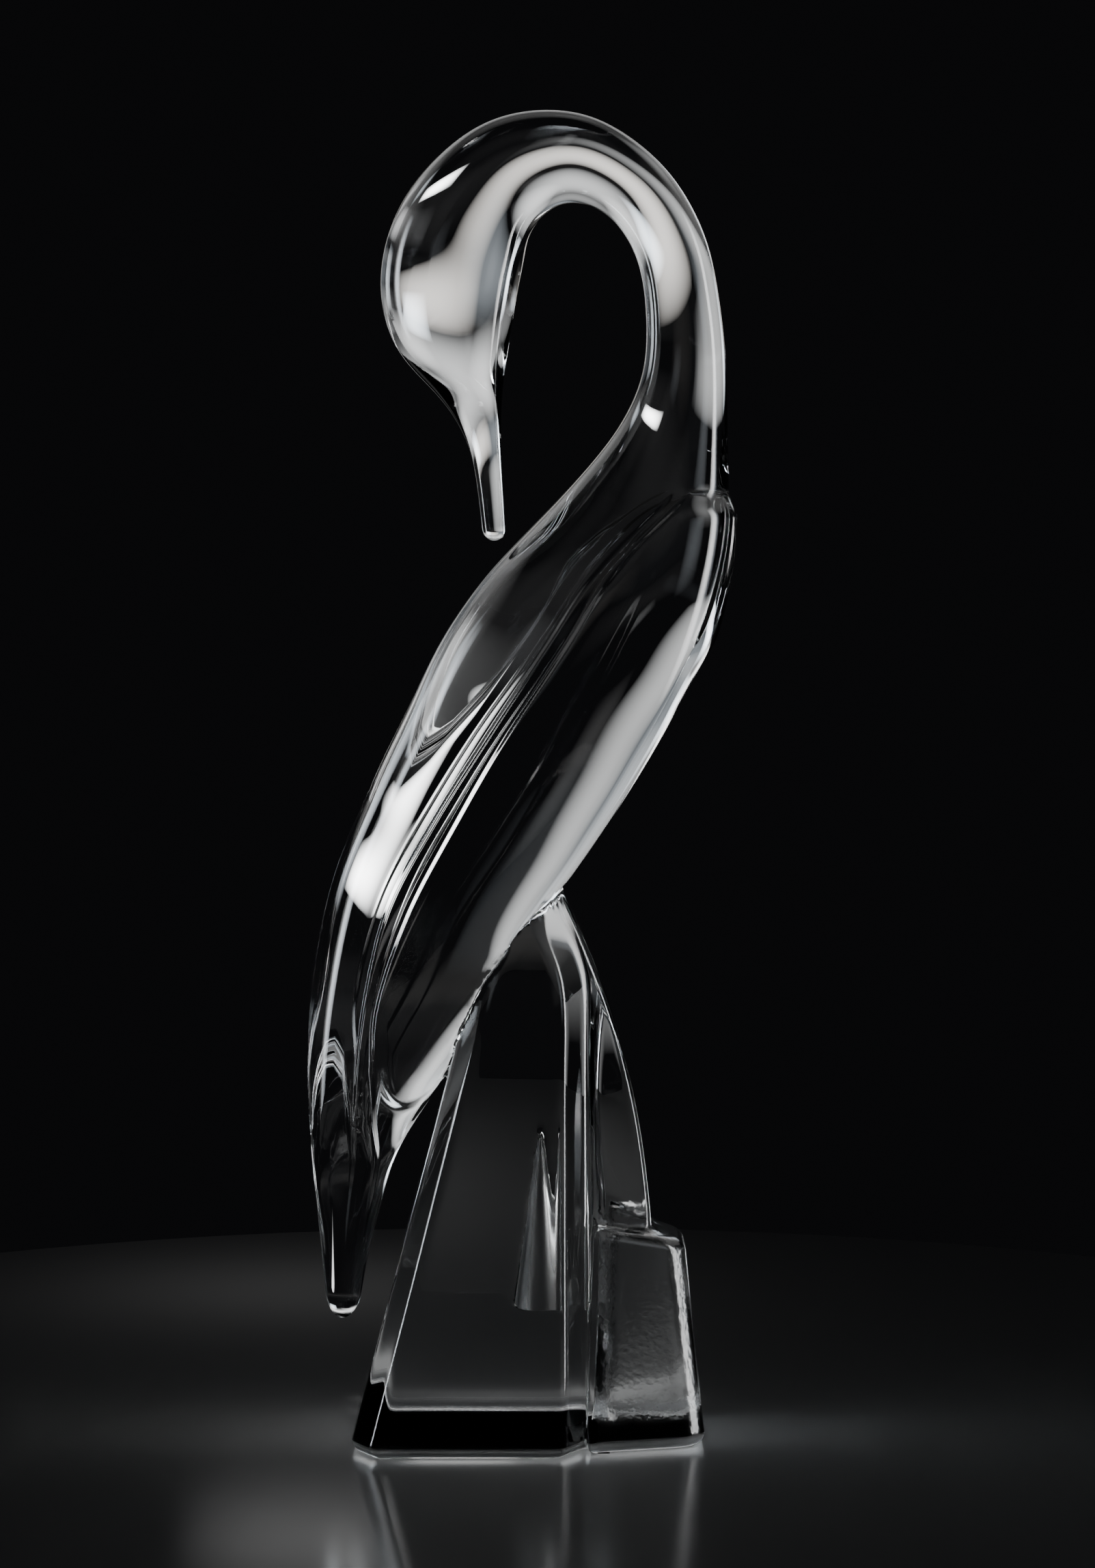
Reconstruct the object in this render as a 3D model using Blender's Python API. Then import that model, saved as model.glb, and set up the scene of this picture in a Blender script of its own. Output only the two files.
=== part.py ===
"""Crystal seabird, about 0.30 m tall: a preening bird and the rock it sits on, cast as one clear solid.

The bird looks back over its shoulder. X runs from tail to breast, Y across the bird, Z up, and the
origin is on the table, under the middle of the length.
"""

import math

import bpy
import numpy as np

# Driving dimensions, in metres
BIRD_HEIGHT = 0.274
TAIL_CLEARANCE = 0.026
WING_EDGE = 0.0017
WING_TIER = 0.0009
STEP_WIDTH = 0.0016

# The tall rock: places along X from the middle, the side face, and the shares that shape its sections
ROCK_REAR_FOOT = 0.0385
ROCK_REAR_SPRING = 0.0136
ROCK_FRONT = 0.0305
ROCK_CREST = 0.0065
ROCK_DEPTH_FOOT = 0.062
ROCK_DEPTH_TOP = 0.025
ROCK_SINK = 0.008
ARCH_SPRING = 0.78
FACE_END = 0.0093
FACE_CREST = 0.0018
FACE_TOP_DROP = 0.0055
REAR_FACET = 0.0048
REAR_BAND = 0.72
FRONT_BAND = 0.38
CREST_TAPER = 0.4
NARROWEST_FACE = 0.25
GROOVE_WIDTH = 0.0050
GROOVE_DEPTH = 0.0090
GROOVE_FLOOR = 0.55
FRONT_MARGIN = 0.12

# The low ledge in front of it
LEDGE_END = 0.0412
LEDGE_HEIGHT = 0.0500
LEDGE_FALL = 0.0055
LEDGE_DRAFT_FRONT = 0.0045
LEDGE_DRAFT_REAR = 0.0018
LEDGE_DEPTH_FOOT = 0.052
LEDGE_DEPTH_TOP = 0.038
LEDGE_TURN = 0.0065
LEDGE_CORNER = 0.0038
EDGE_ROUND = 0.0011

# The tapering flute in the rock's far face
FLUTE_TOP = 0.068
FLUTE_FOOT = 0.027
FLUTE_WIDTH = 0.0110
FLUTE_DEPTH = 0.0075
FLUTE_PLACE = 0.0042
FLUTE_POINT = 0.06
FLUTE_SHALLOW = 0.3

# The bird's proportions, in hundredths of its height, with zero height at the tail tip.
# A section runs from a point on the bird's back side to one on its breast side, with a depth.
# The neck turns over at the top, so its breast side becomes the crown and then the beak's rear.
SECTIONS = (
    # back x, back z, breast x, breast z, depth
    (-16.1, 0.0, -13.6, 0.0, 3.4),  # tail tip
    (-16.8, 7.8, -12.3, 8.1, 5.2),  # tail
    (-17.3, 12.9, -10.8, 13.4, 6.6),
    (-17.6, 17.3, -9.3, 16.4, 8.4),  # wing tips
    (-17.7, 22.0, -6.4, 20.8, 11.0),
    (-17.4, 26.8, -3.6, 25.2, 13.0),  # rump
    (-15.8, 35.8, -0.4, 30.8, 14.8),
    (-12.6, 44.0, 4.9, 37.7, 15.8),  # belly
    (-9.6, 50.2, 9.8, 45.2, 16.2),
    (-6.1, 57.0, 14.0, 53.2, 15.8),  # breast
    (-2.7, 61.7, 15.9, 59.3, 14.6),
    (0.2, 64.8, 16.8, 64.2, 12.8),  # shoulder
    (4.0, 68.8, 17.0, 68.5, 10.2),  # neck root
    (7.7, 73.2, 16.9, 72.1, 8.2),
    (9.8, 77.5, 16.8, 77.0, 6.9),
    (10.2, 83.1, 16.3, 83.0, 6.3),  # neck
    (9.1, 88.2, 14.7, 90.0, 6.2),
    (6.6, 91.2, 11.2, 95.3, 6.5),
    (3.2, 91.8, 4.9, 99.2, 7.0),  # top of the arch
    (0.9, 89.8, -2.5, 98.7, 8.0),
    (0.1, 86.8, -9.3, 92.8, 9.2),  # crown
    (-0.6, 83.2, -11.6, 85.4, 9.6),
    (-1.2, 79.4, -10.1, 79.6, 7.8),  # face
    (-1.6, 76.2, -6.5, 75.9, 4.6),  # beak root
    (-1.7, 72.4, -4.4, 72.4, 2.6),
    (-1.5, 67.8, -3.5, 67.8, 2.0),  # beak
    (-1.3, 64.3, -3.1, 64.3, 1.8),  # beak tip
)
TAIL_CAP = 2.2
BEAK_CAP = 0.9

# Where each feather edge crosses a section, as a share of the way from back to breast
FEATHERS = (
    # section, lower tier, wing edge, wing hem
    (1, 0.50, 0.90, 0.97),
    (2, 0.50, 0.88, 0.96),
    (3, 0.47, 0.68, 0.95),
    (4, 0.37, 0.49, 0.94),
    (5, 0.33, 0.41, 0.93),
    (6, 0.31, 0.42, 0.92),
    (7, 0.32, 0.415, 0.92),
    (8, 0.345, 0.42, 0.91),
    (9, 0.39, 0.465, 0.92),
    (10, 0.42, 0.50, 0.94),
    (11, 0.50, 0.58, 0.95),
    (12, 0.66, 0.76, 0.95),
)
# Sections between which the feathers rise from the tail, end at the shoulder, and meet at the breast
TIP_RISE = (0.8, 3.3)
SHOULDER_END = (11.55, 11.9)
BREAST_MEET = (8.7, 9.7)
NECK_ROUNDS = (10, 14)

BODY_SQUARENESS = 2.3
NECK_SQUARENESS = 2.0
STATIONS = 92
CAP_STATIONS = 5
HALF_RING = (3, 1, 2, 1, 5, 1, 2)
LOWER_LEVELS = 5
ARCH_LEVELS = 6

CRYSTAL = (0.96, 0.98, 0.98, 1.0)


def clear_scene():
    """Remove whatever the scene holds."""
    for found in list(bpy.data.objects):
        bpy.data.objects.remove(found)


def crystal_material():
    """Clear, colourless lead crystal with a fire-polished skin."""
    material = bpy.data.materials.new("crystal")
    material.use_nodes = True
    shader = material.node_tree.nodes["Principled BSDF"]
    shader.inputs["Base Color"].default_value = CRYSTAL
    shader.inputs["Roughness"].default_value = 0.03
    shader.inputs["Metallic"].default_value = 0.0
    shader.inputs["IOR"].default_value = 1.54
    shader.inputs["Transmission Weight"].default_value = 1.0
    return material


def new_object(name, points, faces, material):
    """Object with the given mesh, at the origin."""
    mesh = bpy.data.meshes.new(name)
    mesh.from_pydata([tuple(point) for point in points], [], faces)
    mesh.validate()
    made = bpy.data.objects.new(name, mesh)
    mesh.materials.append(material)
    bpy.context.scene.collection.objects.link(made)
    return made


def skin(rings):
    """Points and faces of a closed tube through rings of equal length, with flat or pointed ends."""
    count = len(rings[0])
    points = [point for ring in rings for point in ring]
    faces = []
    for first in range(0, len(points) - count, count):
        for i in range(count):
            j = (i + 1) % count
            faces.append((first + i, first + j, first + count + j, first + count + i))
    faces.append(tuple(reversed(range(count))))
    faces.append(tuple(range(len(points) - count, len(points))))
    return points, faces


def through(knots, values, at):
    """Smooth curve through the values at the knots, read at the given places."""
    slopes = np.gradient(values, knots, axis=0)
    cell = np.clip(np.searchsorted(knots, at, "right") - 1, 0, len(knots) - 2)
    width = np.diff(knots)[cell]
    f = ((at - knots[cell]) / width).reshape(-1, *[1] * (values.ndim - 1))
    width = width.reshape(f.shape)
    start, end = values[cell], values[cell + 1]
    rise = (2 * f**3 - 3 * f**2 + 1) * start + (3 * f**2 - 2 * f**3) * end
    lean = (f**3 - 2 * f**2 + f) * slopes[cell] + (f**3 - f**2) * slopes[cell + 1]
    return rise + lean * width


def ease(low, high, at):
    """Zero below low, one above high, and a smooth ramp between them."""
    f = np.clip((at - low) / (high - low), 0.0, 1.0)
    return f * f * (3 - 2 * f)


def end_round(distance, cap):
    """Size of a section near a rounded end of the given length, as a share of its full size."""
    return np.sqrt(1 - (1 - np.clip(distance / cap, 0.0, 1.0)) ** 2)


def share_to_angle(share, squareness):
    """Angle round a section at which it lies the given share of the way from back to breast."""
    across = 2 * share - 1
    return math.acos(-math.copysign(abs(across) ** (squareness / 2), across))


def half_ring_angles(shares, step, squareness):
    """Angles from back to breast, with a close pair at each feather edge."""
    marks = [0.0]
    for share in shares:
        middle = share_to_angle(share, squareness)
        marks += [middle - step, middle + step]
    marks.append(math.pi)
    angles = []
    for count, low, high in zip(HALF_RING, marks, marks[1:]):
        angles += [low + (high - low) * i / count for i in range(count)]
    return angles


def half_ring_lifts(tier, edge, breast):
    """How far the feathers stand out at each of the half ring's angles."""
    marks = [0, 0, tier, tier, tier + edge, tier + edge, breast, breast]
    lifts = []
    for count, low, high in zip(HALF_RING, marks, marks[1:]):
        lifts += [low + (high - low) * i / count for i in range(count)]
    return lifts + [breast]


def section_ring(middle, reach, half_depth, squareness, angles, lifts):
    """One section of the bird: a rounded oval, with its feather edges raised."""
    half = np.linalg.norm(reach)
    along = reach / half
    ring = []
    turns = angles + [math.pi] + [-angle for angle in reversed(angles[1:])]
    rises = lifts + list(reversed(lifts[1:-1]))
    for angle, lift in zip(turns, rises):
        u = -math.copysign(abs(math.cos(angle)) ** (2 / squareness), math.cos(angle))
        v = -math.copysign(abs(math.sin(angle)) ** (2 / squareness), math.sin(angle))
        out = np.array([
            math.copysign(abs(u) ** (squareness - 1), u) / half,
            math.copysign(abs(v) ** (squareness - 1), v) / half_depth,
        ])
        out *= lift / np.linalg.norm(out)
        flat = middle + along * (u * half + out[0])
        ring.append((flat[0], v * half_depth + out[1], flat[1]))
    return ring


def bird_rings():
    """Sections of the whole bird, from tail tip to beak tip."""
    unit = BIRD_HEIGHT / 100
    rows = np.array(SECTIONS) * unit
    middles = (rows[:, 0:2] + rows[:, 2:4]) / 2 + [0.0, TAIL_CLEARANCE]
    places = np.concatenate([[0.0], np.cumsum(np.linalg.norm(np.diff(middles, axis=0), axis=1))])
    length = places[-1]
    numbers = np.arange(len(SECTIONS), dtype=float)

    turn = np.linspace(0.0, math.pi / 2, CAP_STATIONS + 1)
    tail_end = TAIL_CAP * unit * (1 - np.cos(turn))
    beak_end = length - BEAK_CAP * unit * (1 - np.cos(turn))
    steps = np.interp(SHOULDER_END, numbers, places)
    even = np.linspace(tail_end[-1], beak_end[-1], STATIONS)
    stations = np.unique(np.concatenate([tail_end[1:], beak_end[1:], steps, even]).round(6))

    shape = through(places, rows, stations)
    section = np.interp(stations, places, numbers)
    ends = end_round(stations, TAIL_CAP * unit) * end_round(length - stations, BEAK_CAP * unit)
    feathers = np.array(FEATHERS)
    shares = through(feathers[:, 0], feathers[:, 1:], np.clip(section, feathers[0, 0], feathers[-1, 0]))
    folded = ease(*TIP_RISE, section) * (1 - ease(*SHOULDER_END, section))
    closed = ease(*BREAST_MEET, section)
    square = BODY_SQUARENESS + (NECK_SQUARENESS - BODY_SQUARENESS) * ease(*NECK_ROUNDS, section)

    rings = []
    for i, end in enumerate(ends):
        back, breast, depth = shape[i, 0:2], shape[i, 2:4], shape[i, 4]
        middle = (back + breast) / 2 + [0.0, TAIL_CLEARANCE]
        reach = (breast - back) / 2 * end
        half_depth = depth / 2 * end
        step = STEP_WIDTH / 2 / max(half_depth, STEP_WIDTH * 2)
        angles = half_ring_angles(shares[i], step, square[i])
        tier, edge = WING_TIER * folded[i], WING_EDGE * folded[i]
        lifts = half_ring_lifts(tier, edge, (tier + edge) * closed[i])
        rings.append(section_ring(middle, reach, half_depth, square[i], angles, lifts))
    return rings


def belly_height():
    """Height of the belly over the rock's crest."""
    unit = BIRD_HEIGHT / 100
    rows = np.array(SECTIONS)[4:9]
    share = np.interp(ROCK_CREST / unit, rows[:, 2], rows[:, 3])
    return share * unit + TAIL_CLEARANCE


def mirrored(corners):
    """Ring of (x, y) corners, with the same ones on the far side in reverse."""
    return corners + [(x, -y) for x, y in reversed(corners)]


def rock_half_depth(z):
    """Half the rock's depth at a height, before its crest rounds over."""
    share = z / (belly_height() + ROCK_SINK)
    return (ROCK_DEPTH_FOOT + (ROCK_DEPTH_TOP - ROCK_DEPTH_FOOT) * share) / 2


def arch_share(z, spring, top):
    """Width of an arch at a height, as a share of its width below the spring."""
    return math.sqrt(max(0.0, 1 - max(0.0, (z - spring) / (top - spring)) ** 2))


def rock_levels(spring, face_top, top):
    """Heights of the rock's sections, closer together where it arches."""
    lower = np.linspace(0.0, spring, LOWER_LEVELS)
    turn = np.sin(np.linspace(0.0, math.pi / 2, ARCH_LEVELS))
    upper = spring + (face_top - spring) * turn[1:]
    return [*lower, *upper, (face_top + top) / 2, top - ROCK_SINK / 4]


def rock_rings():
    """Level sections of the tall rock: sloping rear, flat side face, groove and arched top."""
    top = belly_height() + ROCK_SINK
    face_top = belly_height() - FACE_TOP_DROP
    spring = belly_height() * ARCH_SPRING
    rings = []
    for z in rock_levels(spring, face_top, top):
        arch = arch_share(z, spring, top)
        lancet = max(NARROWEST_FACE, arch_share(z, spring, face_top))
        climb = min(1.0, z / spring)
        rear_line = -ROCK_REAR_FOOT + (ROCK_REAR_FOOT - ROCK_REAR_SPRING) * climb
        rear = ROCK_CREST - (ROCK_CREST - rear_line) * arch
        front = ROCK_CREST + (ROCK_FRONT - ROCK_CREST) * (1 - (z / top) ** 3)
        half = rock_half_depth(z) * (CREST_TAPER + (1 - CREST_TAPER) * arch)
        face_start = FACE_CREST - (FACE_CREST - rear_line - REAR_FACET) * lancet
        face_end = FACE_CREST + (FACE_END - FACE_CREST) * lancet
        groove = min(FACE_END + GROOVE_WIDTH, front - FRONT_MARGIN * (front - rear))
        corners = [
            (rear, -half * REAR_BAND),
            (face_start, -half),
            (face_end, -half),
            (groove, -max(half - GROOVE_DEPTH, half * GROOVE_FLOOR)),
            (front, -half * FRONT_BAND),
        ]
        rings.append([(x, y, z) for x, y in mirrored(corners)])
    return rings


def ledge_rings():
    """Foot and top of the low ledge in front of the rock, its side faces turned a little forward."""
    start = FACE_END + GROOVE_WIDTH
    fall = LEDGE_FALL / (LEDGE_END - start)
    rings = []
    for share, depth in ((0.0, LEDGE_DEPTH_FOOT), (1.0, LEDGE_DEPTH_TOP)):
        near = depth / 2
        end = LEDGE_END - LEDGE_DRAFT_FRONT * share
        corners = [
            (start + LEDGE_DRAFT_REAR * share, -near),
            (end - LEDGE_CORNER, -near + LEDGE_TURN),
            (end, -near + LEDGE_TURN + LEDGE_CORNER),
        ]
        rings.append([
            (x, y, share * (LEDGE_HEIGHT - fall * (x - start))) for x, y in mirrored(corners)
        ])
    return rings


def flute_rings():
    """Cutter for the flute: a triangle that narrows to a point as it climbs the far face."""
    rings = []
    for z, width in ((FLUTE_FOOT, 1.0), (FLUTE_TOP, FLUTE_POINT)):
        face = rock_half_depth(z)
        rings.append([
            (FLUTE_PLACE, face - FLUTE_DEPTH * max(width, FLUTE_SHALLOW), z),
            (FLUTE_PLACE + FLUTE_WIDTH * width, face + FLUTE_DEPTH, z),
            (FLUTE_PLACE - FLUTE_WIDTH * width, face + FLUTE_DEPTH, z),
        ])
    return rings


def helper(name, rings, material):
    """Closed solid that another object joins or cuts, left out of the model itself."""
    made = new_object(name, *skin(rings), material)
    made.hide_render = True
    made.display_type = "WIRE"
    return made


def soften(target, width):
    """Round the block's edges as fire polishing does."""
    bevel = target.modifiers.new("polished edges", "BEVEL")
    bevel.width = width
    bevel.segments = 2
    bevel.limit_method = "ANGLE"
    bevel.angle_limit = math.radians(20)


def combine(target, other, operation):
    """Boolean of the target with another solid."""
    change = target.modifiers.new(other.name, "BOOLEAN")
    change.operation = operation
    change.object = other
    change.solver = "EXACT"


def main():
    clear_scene()
    material = crystal_material()
    seabird = new_object("seabird", *skin(bird_rings()), material)
    rock = helper("rock", rock_rings(), material)
    ledge = helper("ledge", ledge_rings(), material)
    flute = helper("flute", flute_rings(), material)
    for block in (rock, ledge):
        soften(block, EDGE_ROUND)
    combine(rock, ledge, "UNION")
    combine(rock, flute, "DIFFERENCE")
    combine(seabird, rock, "UNION")
    seabird.data.shade_smooth()
    seabird.data.set_sharp_from_angle(angle=math.radians(40))


main()
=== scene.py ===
"""Crystal seabird: a preening bird and the rock it sits on, cast as one clear solid.

X runs from tail to breast, Y across the bird and Z up, in metres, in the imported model's own frame.
"""

from __future__ import annotations

import logging
import math
from dataclasses import dataclass, replace
from enum import Enum
from typing import Any, Union

import bpy
import numpy as np
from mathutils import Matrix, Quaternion, Vector


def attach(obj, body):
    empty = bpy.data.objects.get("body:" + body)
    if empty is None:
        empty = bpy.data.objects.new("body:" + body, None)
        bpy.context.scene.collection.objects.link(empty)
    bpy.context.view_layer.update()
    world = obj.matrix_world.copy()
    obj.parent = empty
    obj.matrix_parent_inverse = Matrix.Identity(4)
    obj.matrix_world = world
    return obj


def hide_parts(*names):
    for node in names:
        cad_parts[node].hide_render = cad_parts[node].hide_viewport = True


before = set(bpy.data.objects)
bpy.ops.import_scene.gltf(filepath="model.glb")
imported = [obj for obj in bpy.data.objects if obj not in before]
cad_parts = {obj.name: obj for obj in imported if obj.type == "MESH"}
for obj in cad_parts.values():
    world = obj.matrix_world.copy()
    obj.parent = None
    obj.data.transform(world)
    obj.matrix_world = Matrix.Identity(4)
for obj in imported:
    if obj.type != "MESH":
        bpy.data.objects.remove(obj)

log = logging.getLogger("seabird")

Number = Union[float, "Value"]
Corners = list[tuple[float, float]]

# Tints of the studio's lights, and how far from the piece the close ones hang
WARM = (1.0, 0.95, 0.90)
COOL = (0.86, 0.93, 1.0)
CLOSE = 0.36

# What a ramp goes from and to
RISE = (0.0, 1.0)
FALL = (1.0, 0.0)

# The Mix node's colour sockets, which share their names with its other kinds
FIRST_COLOUR, SECOND_COLOUR, MIXED_COLOUR = 6, 7, 2

# The middle of what a Noise node gives, and what brings the dome u (1 - u) v (1 - v) to a height of one
NOISE_MIDDLE = 0.5
DOME_SCALE = 16

# The largest share of a side that the bend at its corner takes up
MOST_BEND = 0.45


class Join(Enum):
    """How a second solid changes the first."""

    FUSE = "UNION"
    CARVE = "DIFFERENCE"


class Maths(Enum):
    """The sums that an expression on shader values can hold."""

    ADD = "ADD"
    SUBTRACT = "SUBTRACT"
    MULTIPLY = "MULTIPLY"


class Slope(Enum):
    """The way a ramp runs between its ends."""

    SMOOTH = "SMOOTHSTEP"
    STRAIGHT = "LINEAR"


class Value:
    """A number that changes over the surface, so that maths on it can be written as an expression."""

    def __init__(self, graph: Graph, socket: bpy.types.NodeSocket) -> None:
        """Keep the socket and the graph it belongs to."""
        self.graph = graph
        self.socket = socket

    def _sum(self, kind: Maths, first: Number, second: Number) -> Value:
        """Add one Math node for two numbers or values.

        Args:
            kind: The sum that the node does.
            first: Its first number.
            second: Its second number.

        Returns:
            What the node gives.
        """
        made = self.graph.node("ShaderNodeMath", {"operation": kind.value}, {0: first, 1: second})
        return Value(self.graph, made.outputs[0])

    def __add__(self, other: Number) -> Value:
        """This value plus another."""
        return self._sum(Maths.ADD, self, other)

    def __mul__(self, other: Number) -> Value:
        """This value times another."""
        return self._sum(Maths.MULTIPLY, self, other)

    def __sub__(self, other: Number) -> Value:
        """This value less another."""
        return self._sum(Maths.SUBTRACT, self, other)

    def __rsub__(self, other: Number) -> Value:
        """Another value less this one."""
        return self._sum(Maths.SUBTRACT, other, self)

    __radd__ = __add__
    __rmul__ = __mul__


class Graph:
    """The nodes of one material, of one light or of one Geometry Nodes tree."""

    def __init__(self, tree: bpy.types.NodeTree) -> None:
        """Start on the given tree."""
        self.tree = tree

    def node(self, kind: str, settings: dict[str, Any], inputs: dict[str | int, Any]) -> bpy.types.Node:
        """Add a node, set it up and fill its sockets.

        Args:
            kind: The node's type.
            settings: Its properties, which are set before its sockets.
            inputs: What each input is given, by its name or number: a number, a colour, a value, a socket
                or a list of sockets.

        Returns:
            The new node.
        """
        made = self.tree.nodes.new(kind)
        for name, setting in settings.items():
            setattr(made, name, setting)
        for name, given in inputs.items():
            for single in given if isinstance(given, list) else [given]:
                self.feed(made.inputs[name], single)
        return made

    def feed(self, socket: bpy.types.NodeSocket, given: Any) -> None:
        """Give one socket a value, or link another socket to it.

        Args:
            socket: The input that is filled.
            given: A Value, a socket, or a plain number, colour or flag.
        """
        if isinstance(given, Value):
            given = given.socket
        if isinstance(given, bpy.types.NodeSocket):
            self.tree.links.new(given, socket)
        else:
            socket.default_value = given

    def ramp(
        self, along: Any, ends: tuple[Any, Any], to: tuple[float, float], slope: Slope = Slope.SMOOTH
    ) -> Value:
        """Go from one number to another between two places.

        Args:
            along: The value or socket that the ramp follows.
            ends: Where on it the ramp starts and ends.
            to: The ramp's numbers before its start and after its end.
            slope: How it runs between them.

        Returns:
            The ramp's value.
        """
        made = self.node("ShaderNodeMapRange", {"interpolation_type": slope.value}, {
            "Value": along, "From Min": ends[0], "From Max": ends[1], "To Min": to[0], "To Max": to[1],
        })
        return Value(self, made.outputs[0])

    def noise(self, place: bpy.types.NodeSocket, scale: Any, detail: float) -> Value:
        """Read soft noise over the surface.

        Args:
            place: The coordinates at which it is read.
            scale: About how many of its lumps fit in a metre.
            detail: How many layers of finer lumps it has.

        Returns:
            Its value, from zero to one.
        """
        made = self.node("ShaderNodeTexNoise", {}, {"Vector": place, "Scale": scale, "Detail": detail})
        return Value(self, made.outputs[0])


def placed(name: str, data: bpy.types.ID) -> bpy.types.Object:
    """Add an object to the scene.

    Args:
        name: The object's name.
        data: Its mesh, light or camera.

    Returns:
        The new object, at the origin.
    """
    made = bpy.data.objects.new(name, data)
    bpy.context.scene.collection.objects.link(made)
    return made


def through(knots: np.ndarray, rows: np.ndarray, at: np.ndarray) -> np.ndarray:
    """Read a smooth curve through the rows.

    Args:
        knots: The place of each row along the curve.
        rows: The values that the curve passes through.
        at: The places to read.

    Returns:
        One row of values for each place.
    """
    slopes = np.gradient(rows, knots, axis=0)
    cell = np.clip(np.searchsorted(knots, at, "right") - 1, 0, len(knots) - 2)
    width = np.diff(knots)[cell][:, None]
    f = (at - knots[cell])[:, None] / width
    rise = (2 * f**3 - 3 * f**2 + 1) * rows[cell] + (3 * f**2 - 2 * f**3) * rows[cell + 1]
    lean = (f**3 - 2 * f**2 + f) * slopes[cell] + (f**3 - f**2) * slopes[cell + 1]
    return rise + lean * width


def settled(rows: np.ndarray, spread: float) -> np.ndarray:
    """Even out a run of rows, as molten glass does, and keep its two ends where they are.

    Args:
        rows: Evenly spaced rows of values.
        spread: How far each row's influence reaches, in rows.

    Returns:
        The evened rows.
    """
    reach = math.ceil(3 * spread)
    weights = np.exp(-0.5 * (np.arange(-reach, reach + 1) / spread) ** 2)
    weights /= weights.sum()
    before = 2 * rows[0] - rows[reach:0:-1]
    after = 2 * rows[-1] - rows[-2:-reach - 2:-1]
    padded = np.concatenate([before, rows, after])
    return np.stack([np.convolve(column, weights, "valid") for column in padded.T], axis=1)


def ease(low: float, high: float, at: np.ndarray) -> np.ndarray:
    """Zero below low, one above high, and a smooth ramp between them."""
    f = np.clip((at - low) / (high - low), 0.0, 1.0)
    return f * f * (3 - 2 * f)


def signed_power(base: np.ndarray, power: float | np.ndarray) -> np.ndarray:
    """Power of the size of each number, with its sign kept."""
    return np.sign(base) * np.abs(base) ** power


def skin(name: str, rings: list[np.ndarray]) -> bpy.types.Object:
    """Stretch a closed skin over rings with as many points each.

    Args:
        name: The new object's name.
        rings: Rings of (x, y, z) points, which run round the object's own way up.

    Returns:
        A closed object with its faces outwards.
    """
    count = len(rings[0])
    points = np.concatenate(rings)
    faces: list[tuple[int, ...]] = []
    for first in range(0, len(points) - count, count):
        for i in range(count):
            j = (i + 1) % count
            faces.append((first + i, first + j, first + count + j, first + count + i))
    faces.append(tuple(reversed(range(count))))
    faces.append(tuple(range(len(points) - count, len(points))))
    mesh = bpy.data.meshes.new(name)
    mesh.from_pydata(points.tolist(), [], faces)
    return placed(name, mesh)


def side_counts(corners: Corners, spacing: float) -> list[int]:
    """How many points each side of a flat ring needs to be evenly spaced."""
    ring = np.array(corners)
    lengths = np.linalg.norm(np.roll(ring, -1, axis=0) - ring, axis=1)
    return [max(2, round(length / spacing)) for length in lengths]


def rounded(corners: Corners, setback: float, bend: int, sides: list[int]) -> np.ndarray:
    """Round the corners of a flat ring and space points along its sides.

    Args:
        corners: The ring's corners.
        setback: How far before a corner its bend begins.
        bend: Points on each bend.
        sides: Points on each straight side.

    Returns:
        The ring's (x, y) points.
    """
    ring = np.array(corners)
    count = len(ring)
    lengths = np.linalg.norm(np.roll(ring, -1, axis=0) - ring, axis=1)
    starts, ends = [], []
    for i in range(count):
        reach = min(setback, MOST_BEND * lengths[i - 1], MOST_BEND * lengths[i])
        starts.append(ring[i] + (ring[i - 1] - ring[i]) * reach / lengths[i - 1])
        ends.append(ring[i] + (ring[(i + 1) % count] - ring[i]) * reach / lengths[i])
    points = []
    for i in range(count):
        for f in np.linspace(0.0, 1.0, bend, endpoint=False):
            points.append((1 - f) ** 2 * starts[i] + 2 * f * (1 - f) * ring[i] + f * f * ends[i])
        for f in np.linspace(0.0, 1.0, sides[i], endpoint=False):
            points.append(ends[i] + (starts[(i + 1) % count] - ends[i]) * f)
    return np.array(points)


def inset(ring: np.ndarray, depth: float) -> np.ndarray:
    """Move each point of a flat ring inwards by a small depth.

    Args:
        ring: The ring's (x, y) points.
        depth: How far each point moves.

    Returns:
        The smaller ring.
    """
    along = np.roll(ring, -1, axis=0) - np.roll(ring, 1, axis=0)
    across = np.stack([-along[:, 1], along[:, 0]], axis=1)
    across /= np.linalg.norm(across, axis=1)[:, None]
    following = np.roll(ring, -1, axis=0)
    turns_left = np.sum(ring[:, 0] * following[:, 1] - ring[:, 1] * following[:, 0]) > 0
    return ring + across * depth * (1 if turns_left else -1)


def mirrored(corners: Corners) -> Corners:
    """Ring of (x, y) corners, with the same ones on the far side in reverse."""
    return corners + [(x, -y) for x, y in reversed(corners)]


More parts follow.
